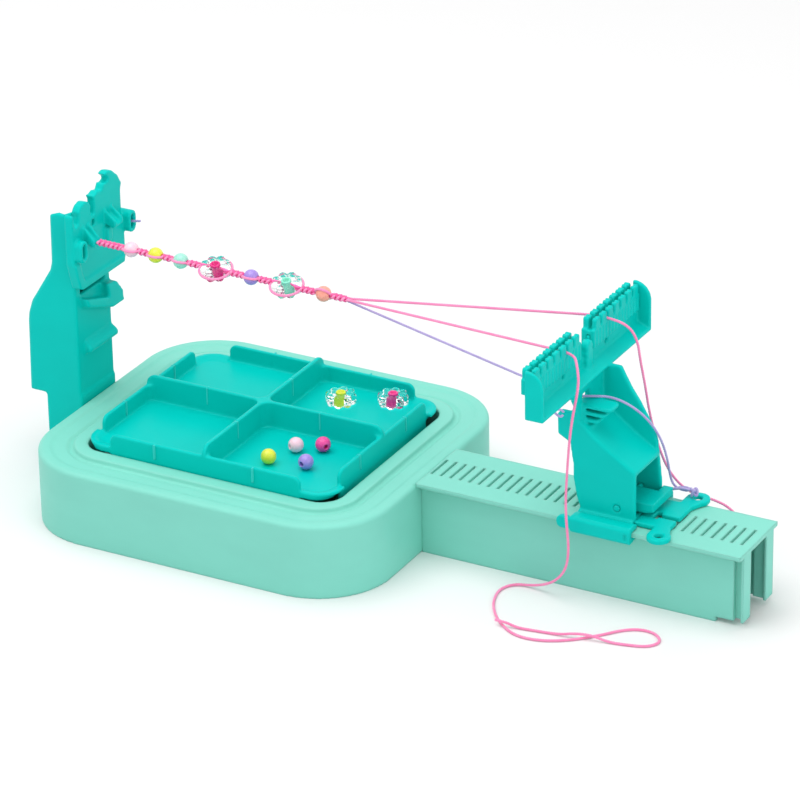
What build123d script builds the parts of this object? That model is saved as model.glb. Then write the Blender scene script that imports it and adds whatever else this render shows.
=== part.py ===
import os
from math import cos, pi, radians, sin, tan

from build123d import *

os.makedirs("parts", exist_ok=True)

# Bead and cord braiding loom, in millimetres. The origin is on the floor under the centre of the
# housing, +X runs out along the rail, +Y points to the back and +Z is up.

# ---- fits ----
sliding_gap = 0.2
loose_gap = 0.3
resting_gap = 0.1
snap_gap = 0.1

# ---- housing ----
housing_length = 149.6
housing_width = 132.2
housing_corner = 30.0
housing_height = 30.0
housing_wall = 2.2
housing_top = 2.4
rim_rounding = 1.6
bead_width = 4.8
bead_drop = 0.5
groove_start = 11.0
groove_end = 13.7
groove_depth = 0.8
inner_ledge_rise = 0.6
well_length = 110.4
well_width = 92.0
well_corner = 9.0
well_skirt = 1.8
well_skirt_bottom = 20.0
tray_seat_height = 26.3
tray_seat_thickness = 1.8
tray_seat_reach = 3.0
side_seat_reach = 5.2
seat_length = 40.0

# ---- bottom cover and its screws ----
cover_thickness = 2.0
boss_radius = 3.6
boss_hole_radius = 1.4
boss_x = 58.0
boss_y = 49.5
screw_shank_radius = 1.3
screw_head_radius = 2.6
screw_length = 12.0

# ---- snap plug that joins the rail and the post to the housing ----
window_half_width = 10.5
window_height = 27.3
window_pad = 1.0
window_pad_half_width = 15.0
plug_wall = 2.0
plug_web = 1.6
plug_bottom = 2.4
lip_thickness = 1.0
lip_inner = 6.8
lip_outer = 13.0

# ---- rail ----
rail_length = 133.7
rail_end = housing_length / 2 + rail_length
end_plug_length = 4.3
rail_wall_end = rail_end - end_plug_length
rail_wall_outer = 12.0
rail_wall = 2.0
rail_top = 30.9
flange_thickness = 1.7
flange_half_width = 16.4
end_return = 1.5
foot_notch_start = rail_end - 11.5
foot_notch_height = 2.0
slot_pitch = 4.0
slot_width = 1.05
slot_depth = 1.1
slot_half_length = 6.5
first_slot_inset = 1.5
first_slot = housing_length / 2 + first_slot_inset
slot_count = int((rail_end - first_slot) / slot_pitch)

# ---- tray ----
tray_half_length = 52.4
tray_half_width = well_width / 2 - loose_gap
tray_floor = 32.0
tray_floor_thickness = 1.6
tray_wall = 1.5
tray_wall_top = 38.7
tray_long_wall_half = 41.5
tray_short_wall_half = 34.0
tray_wall_rounding = 3.0
divider_thickness = 1.6
divider_top = 42.6
divider_rounding = 4.0
divider_joint_fillet = 3.0
lip_reach = 2.0
lip_top = 33.2
lip_thickness_up = 1.4
lip_width = 1.8
lip_ramp = 2.8
lip_corner = 9.5
slit_width = 0.7
slit_depth = 7.5
wall_slit_depth = 6.2
long_wall_slit = 21.5
short_wall_slit = 18.0
divider_slit_x = 25.0
divider_slit_y = 21.0

# ---- beads ----
bead_radius = 3.0
bead_hole_radius = 0.9
flower_radius = 6.0
flower_petal_count = 8
flower_petal_radius = 2.1
flower_thickness = 4.8
petal_overreach = 0.15
rim_share = 0.42
flower_core_radius = 2.0
flower_core_height = 5.4

# ---- post ----
post_standoff = 0.8
post_front = -housing_length / 2 - post_standoff
post_half_width = 12.5
post_top = 111.0
post_open_top = 102.0
post_wall = 2.0
post_edge_rounding = 2.0
post_foot_depth = 15.9
post_foot_front = -housing_length / 2 - sliding_gap
post_foot_top = 31.2
shelf_depth = 3.6
ledge_depth = 3.0

# ---- hook plate ----
hook_plate_thickness = 3.4
hook_rim = 0.8
spout_reach = 5.2
spout_tip = post_front + hook_plate_thickness + spout_reach
spout_width = 4.6
spout_groove = 2.2
far_spout_width = 6.0
ring_height = 9.0
ring_width = 5.0
ring_hole_height = 6.0
ring_hole_width = 2.2
ring_reach = 3.5

# ---- tower ----
cheek_outer = 11.0
cheek_wall = 1.8
deck_bottom = rail_top + sliding_gap
deck_top = 33.0
deck_start = 140.5
deck_end = 163.0
deck_half_width = 12.3
duct_top = 52.4
roof_thickness = 1.6
neck_back = 138.0
neck_thickness = 2.4
neck_window_width = (-7.4, -1.6)
neck_window_heights = (74.0, 78.2)
tongue_count = 4
tongue_first_tip = 144.5
tongue_tip_step = 2.7
tongue_first_top = 66.7
tongue_rise = 2.75
tongue_thickness = 1.5
tongue_near = -9.0
tongue_far = -1.0
wing_half_length = 45.0
wing_back = 135.6
wing_front = 143.0
wing_bottom = 83.0
wing_blade_front = 136.9
wing_blade_top = 96.0
ear_thickness = 1.6
ear_top = 102.5
ear_rounding = 7.0
cleat_radius = 2.4
cleat_lug_heights = (86.2, 89.0, 91.8, 94.4)

# ---- combs ----
comb_start = 5.2
lug_pitch = 5.3
lug_count = 7
first_lug = 8.6
lug_gap = 1.3
lug_top = 102.2
comb_web_bottom = 96.2
comb_web_thickness = 1.4
comb_back = 133.3
comb_front = 138.7
comb_inner_gap = snap_gap
comb_back_bottom = 92.0
comb_front_bottom = 91.0
flute_radius = 0.5

# ---- lock plate, clips and lever ----
lock_plate_end = 177.0
lock_plate_half_width = 11.0
eyelet_x = 176.0
eyelet_y = 17.0
eyelet_radius = 4.5
eyelet_hole_radius = 1.8
clip_start = 140.5
clip_end = 165.0
clip_outer = 19.0
clip_top = 33.4
clip_bottom = 26.7
knob_start = 135.0
pin_x = 156.0
pin_z = 36.6
pin_radius = 1.2
lever_half_width = 6.0
tooth_slot = 17
tooth_x = first_slot + tooth_slot * slot_pitch
tooth_thickness = 0.5
tooth_depth = 0.7
tooth_side_gap = 0.05
tooth_front = tooth_x + slot_width / 2 - tooth_side_gap
tooth_back = tooth_front - tooth_thickness

# ---- cords and braid ----
cord_radius = 0.55
core_cord_radius = 0.5
braid_radius = 1.5
braid_thin_radius = 0.8
braid_standoff = 0.4
braid_start = Vector(spout_tip + braid_standoff, -8.0, 98.7)
braid_end = Vector(42.0, -5.0, 95.2)
cord_slot_y = first_lug + 1.5 * lug_pitch
cord_height = 98.9
floor_height = cord_radius + 0.05


def block(x_limits, y_limits, z_limits, mode=Mode.ADD):
    # A box given by its limits along X, Y and Z
    low = [min(limits) for limits in (x_limits, y_limits, z_limits)]
    high = [max(limits) for limits in (x_limits, y_limits, z_limits)]
    with Locations([tuple((a + b) / 2 for a, b in zip(low, high))]):
        Box(high[0] - low[0], high[1] - low[1], high[2] - low[2], mode=mode)


def outline_on(plane, points, amount, mode=Mode.ADD):
    # A straight-sided outline on a plane, made solid along the plane's normal
    with BuildSketch(plane) as profile:
        with BuildLine():
            Polyline(*points, close=True)
        make_face()
    extrude(profile.sketch, amount=amount, mode=mode)


def side_profile(points, y_limits, mode=Mode.ADD):
    # Points in X and Z, made solid between two Y limits
    outline_on(Plane.XZ.offset(-max(y_limits)), points, max(y_limits) - min(y_limits), mode)


def front_profile(points, x_limits, mode=Mode.ADD):
    # Points in Y and Z, made solid between two X limits
    outline_on(Plane.YZ.offset(min(x_limits)), points, max(x_limits) - min(x_limits), mode)


def plan_profile(points, z_limits, mode=Mode.ADD):
    # Points in X and Y, made solid between two Z limits
    outline_on(Plane.XY.offset(min(z_limits)), points, max(z_limits) - min(z_limits), mode)


def rounded_slab(length, width, corner, z_limits, mode=Mode.ADD):
    # A round-cornered rectangle about the Z axis
    with BuildSketch(Plane.XY.offset(min(z_limits))) as profile:
        RectangleRounded(length, width, corner)
    extrude(profile.sketch, amount=max(z_limits) - min(z_limits), mode=mode)


def rod(start, direction, radius, length, mode=Mode.ADD):
    # A round bar from a point along a direction
    with BuildSketch(Plane(origin=start, z_dir=direction)) as section:
        Circle(radius)
    extrude(section.sketch, amount=length, mode=mode)


def snap_plug(face, inward, top=window_height - loose_gap):
    # The plug that goes through a housing window from an outer face, with lips behind the wall
    lip_face = inward * (window_pad + housing_wall + snap_gap - housing_length / 2)
    lip_end = lip_face + inward * lip_thickness
    outer = window_half_width - loose_gap
    for side in (-1, 1):
        block((face, lip_end), (side * (outer - plug_wall), side * outer), (plug_bottom, top))
        block((lip_face, lip_end), (side * lip_inner, side * lip_outer), (plug_bottom, top))
    block((face, lip_end), (-outer, outer), (top - plug_web, top))


def corner_radii(points):
    # The largest arcs that the runs of a free cord leave room for
    radii = []
    for before, corner, after in zip(points, points[1:], points[2:]):
        run_in = Vector(corner) - Vector(before)
        run_out = Vector(after) - Vector(corner)
        half_turn = radians(run_in.get_angle(run_out)) / 2
        radii.append(0.45 * min(run_in.length, run_out.length) / tan(half_turn))
    return radii


def cord_along(name, points, radius):
    # A round cord of straight runs joined by tangent arcs
    radii = corner_radii(points)
    with BuildLine() as route:
        FilletPolyline(*points, radius=radii)
    path = route.wire()
    with BuildSketch(Plane(origin=path @ 0, z_dir=path % 0)) as section:
        Circle(radius)
    cord = sweep(section.sketch, path=path)
    share = cord.volume / (pi * radius**2 * path.length)
    print(f"{name}: length {path.length:.1f}, least arc {min(radii):.1f}, volume share {share:.4f}")
    print("   arcs", [round(value, 1) for value in radii])


def taut_cord(start, end, radius):
    # A straight, tight cord between two points
    run = Vector(end) - Vector(start)
    rod(start, run, radius, run.length)


def round_bead(centre, hole_direction):
    # A ball with a hole through it
    with Locations([tuple(centre)]):
        Sphere(bead_radius)
    direction = Vector(hole_direction).normalized()
    hole_start = Vector(centre) - direction * bead_radius * 2
    rod(hole_start, direction, bead_hole_radius, bead_radius * 4, Mode.SUBTRACT)


def flower_place(centre, up, hole_direction):
    # A flower bead's own frame: Z along its core and X along the hole for the cord
    across = Vector(hole_direction).normalized()
    upright = Vector(up) - across * Vector(up).dot(across)
    return Plane(origin=centre, x_dir=across, z_dir=upright)


def drill_across(place):
    rod(
        place.origin - place.x_dir * 2 * flower_radius,
        place.x_dir,
        bead_hole_radius,
        4 * flower_radius,
        Mode.SUBTRACT,
    )


def flower_petals(place):
    # A scalloped disc with a round rim, bored for its core and drilled across for the cord
    ring_radius = flower_radius + petal_overreach - flower_petal_radius
    underside = place.offset(-flower_thickness / 2)
    with BuildSketch(underside) as scallops:
        Circle(ring_radius)
        with PolarLocations(ring_radius, flower_petal_count):
            Circle(flower_petal_radius)
    with BuildPart(mode=Mode.PRIVATE) as petals:
        rod(underside.origin, place.z_dir, flower_radius, flower_thickness)
        fillet(petals.edges().filter_by(GeomType.CIRCLE), flower_thickness * rim_share)
        extrude(scallops.sketch, amount=flower_thickness, mode=Mode.INTERSECT)
        rod(underside.origin, place.z_dir, flower_core_radius + resting_gap, flower_thickness, Mode.SUBTRACT)
        drill_across(place)
    add(petals.part)


def flower_core(place):
    # The coloured barrel in the middle of a flower bead
    rod(place.offset(-flower_core_height / 2).origin, place.z_dir, flower_core_radius, flower_core_height)
    drill_across(place)


def finish_part(builder, name):
    # Label a finished piece and write it out
    builder.part.label = name
    export_step(builder.part, f"parts/{name}.step")


# ---------------------------------------------------------------- housing
housing_half = housing_length / 2
ledge_top = housing_height + inner_ledge_rise

with BuildPart() as base_housing:
    rounded_slab(housing_length, housing_width, housing_corner, (0, housing_height))
    fillet(base_housing.faces().sort_by(Axis.Z)[-1].edges(), rim_rounding)
    rounded_slab(
        housing_length - 2 * bead_width,
        housing_width - 2 * bead_width,
        housing_corner - bead_width,
        (housing_height - bead_drop, housing_height),
        Mode.SUBTRACT,
    )
    rounded_slab(
        housing_length - 2 * groove_start,
        housing_width - 2 * groove_start,
        housing_corner - groove_start,
        (housing_height - bead_drop - groove_depth, housing_height),
        Mode.SUBTRACT,
    )
    rounded_slab(
        housing_length - 2 * groove_end,
        housing_width - 2 * groove_end,
        housing_corner - groove_end,
        (housing_height - bead_drop - groove_depth, ledge_top),
    )
    rounded_slab(
        housing_length - 2 * housing_wall,
        housing_width - 2 * housing_wall,
        housing_corner - housing_wall,
        (0, housing_height - bead_drop - housing_top),
        Mode.SUBTRACT,
    )
    rounded_slab(
        well_length + 2 * well_skirt,
        well_width + 2 * well_skirt,
        well_corner + well_skirt,
        (well_skirt_bottom, ledge_top),
    )
    rounded_slab(well_length, well_width, well_corner, (well_skirt_bottom, ledge_top), Mode.SUBTRACT)
    for side in (-1, 1):
        block(
            (side * (well_length / 2 - side_seat_reach), side * (well_length / 2 + well_skirt)),
            (-seat_length / 2, seat_length / 2),
            (tray_seat_height - tray_seat_thickness, tray_seat_height),
        )
        block(
            (-seat_length / 2, seat_length / 2),
            (side * (well_width / 2 - tray_seat_reach), side * (well_width / 2 + well_skirt)),
            (tray_seat_height - tray_seat_thickness, tray_seat_height),
        )
        # wall thickened round the window that takes a snap plug
        block(
            (side * (housing_half - housing_wall - window_pad), side * (housing_half - housing_wall)),
            (-window_pad_half_width, window_pad_half_width),
            (cover_thickness + resting_gap, housing_height - bead_drop - housing_top),
        )
        block(
            (side * (housing_half - housing_wall - window_pad), side * housing_half),
            (-window_half_width, window_half_width),
            (0, window_height),
            Mode.SUBTRACT,
        )
    with Locations((0, 0, cover_thickness + resting_gap)):
        with GridLocations(2 * boss_x, 2 * boss_y, 2, 2):
            Cylinder(
                boss_radius,
                housing_height - housing_top - cover_thickness,
                align=(Align.CENTER, Align.CENTER, Align.MIN),
            )
            Cylinder(
                boss_hole_radius,
                screw_length,
                align=(Align.CENTER, Align.CENTER, Align.MIN),
                mode=Mode.SUBTRACT,
            )
finish_part(base_housing, "base_housing")

with BuildPart() as bottom_cover:
    rounded_slab(
        housing_length - 2 * (housing_wall + sliding_gap),
        housing_width - 2 * (housing_wall + sliding_gap),
        housing_corner - housing_wall - sliding_gap,
        (0, cover_thickness),
    )
    with Locations(Plane.XY.rotated((180, 0, 0))):
        with GridLocations(2 * boss_x, 2 * boss_y, 2, 2):
            CounterSinkHole(boss_hole_radius, screw_head_radius + snap_gap, cover_thickness, 90)
finish_part(bottom_cover, "bottom_cover")

with BuildPart() as bottom_screws:
    for x in (-boss_x, boss_x):
        for y in (-boss_y, boss_y):
            with Locations((x, y, 0)):
                Cone(
                    screw_head_radius,
                    screw_shank_radius,
                    screw_head_radius - screw_shank_radius,
                    align=(Align.CENTER, Align.CENTER, Align.MIN),
                )
                Cylinder(screw_shank_radius, screw_length, align=(Align.CENTER, Align.CENTER, Align.MIN))
finish_part(bottom_screws, "bottom_screws")

# ---------------------------------------------------------------- rail
flange_bottom = rail_top - flange_thickness
plug_outer = window_half_width - loose_gap

with BuildPart() as rail_arm:
    block((housing_half, rail_end), (-flange_half_width, flange_half_width), (flange_bottom, rail_top))
    for side in (-1, 1):
        inner = side * (rail_wall_outer - rail_wall)
        outer = side * rail_wall_outer
        neck_inner = side * (plug_outer - plug_wall)
        block((housing_half, foot_notch_start), (inner, outer), (0, flange_bottom))
        block((foot_notch_start, rail_wall_end), (inner, outer), (foot_notch_height, flange_bottom))
        # returns that narrow the walls to the plug's width at both ends
        block((housing_half, housing_half + end_return), (neck_inner, outer), (plug_bottom, flange_bottom))
        block((rail_wall_end - end_return, rail_wall_end), (neck_inner, outer), (plug_bottom, flange_bottom))
        # the free end's own plug, for a further length of rail
        block(
            (rail_wall_end, rail_end),
            (neck_inner, side * plug_outer),
            (plug_bottom, flange_bottom),
        )
        block(
            (rail_end - lip_thickness, rail_end),
            (side * lip_inner, side * lip_outer),
            (plug_bottom, flange_bottom),
        )
    block(
        (housing_half, housing_half + end_return),
        (-rail_wall_outer, rail_wall_outer),
        (window_height - loose_gap - plug_web, flange_bottom),
    )
    snap_plug(housing_half, -1)
    for slot in range(slot_count):
        slot_x = first_slot + slot * slot_pitch
        block(
            (slot_x - slot_width / 2, slot_x + slot_width / 2),
            (-slot_half_length, slot_half_length),
            (rail_top - slot_depth, rail_top),
            Mode.SUBTRACT,
        )
finish_part(rail_arm, "rail_arm")

# ---------------------------------------------------------------- tray
lip_half_length = tray_half_length + lip_reach

with BuildPart() as corner_lips:
    rounded_slab(
        2 * lip_half_length, 2 * tray_half_width, lip_corner, (lip_top - lip_thickness_up, lip_top)
    )
    inner_length = 2 * (lip_half_length - lip_width)
    inner_width = 2 * (tray_half_width - lip_width)
    with BuildSketch(Plane.XY.offset(tray_floor)):
        RectangleRounded(
            inner_length - 2 * lip_ramp, inner_width - 2 * lip_ramp, lip_corner - lip_width - lip_ramp
        )
    with BuildSketch(Plane.XY.offset(lip_top)):
        RectangleRounded(inner_length, inner_width, lip_corner - lip_width)
    loft(mode=Mode.SUBTRACT)
    block(
        (-tray_long_wall_half, tray_long_wall_half), (-well_width, well_width), (0, lip_top), Mode.SUBTRACT
    )
    block(
        (-well_length, well_length),
        (-tray_short_wall_half, tray_short_wall_half),
        (0, lip_top),
        Mode.SUBTRACT,
    )

with BuildPart() as bead_tray:
    rounded_slab(
        2 * tray_half_length,
        2 * tray_half_width,
        lip_corner - lip_reach,
        (tray_floor - tray_floor_thickness, tray_floor),
    )
    add(corner_lips.part)
    with BuildSketch(Plane.XY.offset(tray_floor - tray_floor_thickness)):
        for side in (-1, 1):
            with Locations((0, side * (tray_half_width - tray_wall / 2))):
                Rectangle(2 * tray_long_wall_half, tray_wall)
            with Locations((side * (tray_half_length - tray_wall / 2), 0)):
                Rectangle(tray_wall, 2 * tray_short_wall_half)
    extrude(amount=tray_wall_top - tray_floor + tray_floor_thickness)
    seat_level = tray_seat_height + resting_gap
    with BuildSketch(Plane.XY.offset(seat_level)):
        for side in (-1, 1):
            with Locations((0, side * (tray_half_width - tray_wall / 2))):
                Rectangle(2 * tray_long_wall_half, tray_wall)
            with Locations((side * (tray_half_length - tray_wall / 2), 0)):
                Rectangle(tray_wall, 2 * tray_short_wall_half)
    extrude(amount=tray_floor - seat_level)
    # round the free top ends of the four walls
    wall_top_ends = bead_tray.edges().group_by(Axis.Z)[-1].filter_by(
        lambda edge: abs(edge.length - tray_wall) < 0.01
    )
    fillet(wall_top_ends, tray_wall_rounding)
    with BuildSketch(Plane.XY.offset(tray_floor)):
        Rectangle(2 * tray_half_length - tray_wall, divider_thickness)
        Rectangle(divider_thickness, 2 * tray_half_width - tray_wall)
        for side in (-1, 1):
            with Locations((0, side * (tray_half_width - tray_wall / 2))):
                Rectangle(divider_joint_fillet * 4, tray_wall)
            with Locations((side * (tray_half_length - tray_wall / 2), 0)):
                Rectangle(tray_wall, divider_joint_fillet * 4)
        centre_corners = vertices().filter_by(lambda vertex: abs(vertex.X) < 1 and abs(vertex.Y) < 1)
        fillet(centre_corners, divider_rounding)
        joint_corners = vertices().filter_by(
            lambda vertex: abs(abs(vertex.X) - divider_thickness / 2) < 0.01
            and abs(vertex.Y) > divider_top / 2
            or abs(abs(vertex.Y) - divider_thickness / 2) < 0.01
            and abs(vertex.X) > divider_top / 2
        )
        fillet(joint_corners, divider_joint_fillet)
    extrude(amount=tray_wall_top - tray_floor)
    with BuildSketch(Plane.XY.offset(tray_wall_top)):
        Rectangle(2 * tray_half_length, divider_thickness)
        Rectangle(divider_thickness, 2 * tray_half_width)
        fillet(
            vertices().filter_by(lambda vertex: abs(vertex.X) < 1 and abs(vertex.Y) < 1), divider_rounding
        )
    extrude(amount=divider_top - tray_wall_top)
    divider_ends = bead_tray.edges().group_by(Axis.Z)[-1].filter_by(
        lambda edge: abs(edge.length - divider_thickness) < 0.01
    )
    fillet(divider_ends, divider_top - tray_wall_top - 0.05)
    for side in (-1, 1):
        for end in (-1, 1):
            wall_slit = (tray_wall_top - wall_slit_depth, tray_wall_top)
            divider_slit = (divider_top - slit_depth, divider_top)
            half = slit_width / 2
            x = side * long_wall_slit
            slit_span = (end * tray_half_width, end * (tray_half_width - 2))
            block((x - half, x + half), slit_span, wall_slit, Mode.SUBTRACT)
            y = side * short_wall_slit
            slit_span = (end * tray_half_length, end * (tray_half_length - 2))
            block(slit_span, (y - half, y + half), wall_slit, Mode.SUBTRACT)
        x = side * divider_slit_x
        block((x - half, x + half), (-divider_thickness, divider_thickness), divider_slit, Mode.SUBTRACT)
        y = side * divider_slit_y
        block((-divider_thickness, divider_thickness), (y - half, y + half), divider_slit, Mode.SUBTRACT)
finish_part(bead_tray, "bead_tray")

# ---------------------------------------------------------------- post
# depths behind the front face, and heights, from the top down the back
post_depths = [
    (0, post_top), (4.1, 109.0), (6.3, 109.4), (10.7, 107.8), (11.0, 88.0), (11.9, 84.4), (18.5, 73.7),
    (21.0, 69.8), (22.8, 64.3), (23.2, 60.8), (23.8, 32.6), (23.4, post_foot_top), (0, post_foot_top),
]
hollow_depths = [
    (post_wall, 106.0), (8.6, 105.6), (9.0, 88.5), (9.9, 85.4), (16.6, 74.6), (19.1, 69.2),
    (20.8, 64.0), (21.2, 60.8), (21.7, post_foot_top + post_wall), (post_wall, post_foot_top + post_wall),
]
post_outline = [(post_front - depth, height) for depth, height in post_depths]
post_hollow = [(post_front - depth, height) for depth, height in hollow_depths]

with BuildPart() as post_body:
    side_profile(post_outline, (-post_half_width, post_half_width))
    back_edges = post_body.edges().filter_by(
        lambda edge: abs(abs(edge.center().Y) - post_half_width) < 0.01
        and edge.center().X < post_front - 6.4
        and edge.center().Z > post_foot_top + 1
        and edge.center().Z < 100
    )
    fillet(back_edges, post_edge_rounding)
    block(
        (post_front - post_foot_depth, post_foot_front),
        (-post_half_width, post_half_width),
        (foot_notch_height, post_foot_top + post_wall),
    )
    snap_plug(post_foot_front, 1)
    hollow_half = post_half_width - post_wall
    side_profile(post_hollow, (-hollow_half, hollow_half), Mode.SUBTRACT)
    block(
        (post_front - post_foot_depth + post_wall, post_foot_front - post_wall),
        (-hollow_half, hollow_half),
        (0, post_foot_top + post_wall),
        Mode.SUBTRACT,
    )
    # sloping ledge low on the front
    side_profile(
        [
            (post_front, 49.4),
            (post_front + ledge_depth, 50.4),
            (post_front + ledge_depth, 52.4),
            (post_front, 54.6),
        ],
        (-7.9, post_half_width),
    )
    # slanting shelf under the hook plate, with an upturned far end
    front_profile(
        [
            (-8.5, 70), (8.5, 63.3), (16.8, 63.3), (16.2, 68),
            (12.2, 73.2), (5.4, 74.4), (6.5, 68.5), (-10, 74),
        ],
        (post_front - 0.5, post_front + shelf_depth),
    )
    # recess between the shelf and the hook plate
    block((post_front - post_wall, post_front), (-9, 9), (74.9, 79.0), Mode.SUBTRACT)
    # above the hollow only the near side stands up, so the gaps between the hooks show through
    block(
        (post_front - post_foot_depth, post_front),
        (-hollow_half, post_half_width),
        (post_open_top, post_top),
        Mode.SUBTRACT,
    )
finish_part(post_body, "post_body")

# ---------------------------------------------------------------- hook plate
hook_front = post_front + hook_plate_thickness
hook_outline = [
    (-12.9, 79.5), (-14.6, 80.4), (-16.2, 85.5), (-17.7, 91.0), (-17.7, 110.9), (-16.8, 112.0),
    (-15.9, 111.0), (-15.6, 106.6), (-14.9, 105.8), (-12.9, 106.6), (-12.1, 109.3), (-12.4, 111.4),
    (-10.6, 113.4), (-7.6, 114.2), (-4.9, 113.2), (-3.5, 111.0), (-3.9, 109.0), (-3.7, 106.7),
    (-1.3, 106.7), (-1.2, 112.5), (-2.2, 114.5), (-0.6, 114.3), (1.6, 115.1), (4.4, 114.4),
    (5.8, 116.8), (7.4, 116.3), (9.7, 117.0), (8.9, 118.4), (6.8, 120.1), (9.4, 120.7),
    (12.4, 119.8), (16.4, 116.4), (18.9, 112.2), (18.0, 110.0), (18.0, 100.0), (19.5, 90.5),
    (19.5, 83.0), (17.7, 79.3), (15.5, 79.5),
]


def spout(y, width, groove, root, tip_drop):
    # A drooping spout with a groove along its top, on the front of the hook plate
    tip = spout_tip
    side_profile(
        [
            (hook_front, root + 1.6),
            (hook_front, root - 4.2),
            (tip - 1.4, root - tip_drop - 2.6),
            (tip - 0.2, root - tip_drop - 1.8),
            (tip, root - tip_drop - 0.2),
            (tip - 0.6, root - tip_drop + 0.9),
        ],
        (y - width / 2, y + width / 2),
    )
    side_profile(
        [
            (hook_front, root + 2),
            (hook_front, root - 1.2),
            (tip + 1, root - tip_drop - 1.9),
            (tip + 1, root + 2),
        ],
        (y - groove / 2, y + groove / 2),
        Mode.SUBTRACT,
    )


def slotted_ring(y, z, back):
    # An upright oval ring that a cord's end is pushed through
    with BuildSketch(Plane.YZ.offset(back)) as ring:
        with Locations((y, z)):
            SlotOverall(ring_height, ring_width, rotation=90)
    extrude(ring.sketch, amount=hook_front + ring_reach - back)
    with BuildSketch(Plane.YZ.offset(post_front)) as hole:
        with Locations((y, z)):
            SlotOverall(ring_hole_height, ring_hole_width, rotation=90)
    extrude(hole.sketch, amount=hook_plate_thickness + ring_reach, mode=Mode.SUBTRACT)


with BuildPart() as hook_plate:
    front_profile(hook_outline, (post_front, hook_front))
    # raised rim along the near and bottom edges
    front_profile(
        [(-14.6, 80.4), (-16.2, 85.5), (-17.6, 91.0), (-13.9, 91.0), (-12.6, 85.8), (-11.2, 83.0),
         (18.4, 82.4),
         (17.6, 79.4), (-12.9, 79.5)],
        (hook_front - 0.2, hook_front + hook_rim),
    )
    spout(-8.0, spout_width, spout_groove, 103.5, 4.3)
    spout(8.0, far_spout_width, 3.4, 104.6, 3.2)
    slotted_ring(-14.6, 96.5, hook_front - 0.2)
    slotted_ring(20.4, 96.0, post_front)
    with BuildSketch(Plane.YZ.offset(hook_front - 0.2)):
        with Locations((6.8, 95.6)):
            SlotOverall(6.4, 3.8, rotation=90)
    extrude(amount=1.8)
    # small hole under the gap between the fingers
    block((post_front, hook_front), (-3.3, -1.3), (102.4, 105.0), Mode.SUBTRACT)
finish_part(hook_plate, "hook_plate")

# ---------------------------------------------------------------- tower
cheek_back = [
    (141.0, deck_top), (139.4, 38.0), (138.3, 44.0), (138.5, 49.0),
    (137.7, 52.5), (136.9, 58.0), (137.3, 72.0),
]
near_cheek = cheek_back + [
    (138.3, 75.0), (140.0, 70.0), (145.0, 65.0), (153.0, 59.0), (163.4, duct_top), (163.4, deck_top),
]
far_cheek = cheek_back + [
    (neck_back, wing_bottom + 1),
    (147.6, wing_bottom + 1),
    (152.0, 76.0),
    (155.5, 71.0),
    (159.3, 64.4),
    (161.3, 60.7),
    (162.6, 57.0),
    (163.9, 45.0),
    (164.4, 40.0),
    (164.4, deck_top),
]
cheek_inner = cheek_outer - cheek_wall
neck_front = neck_back + neck_thickness

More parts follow.
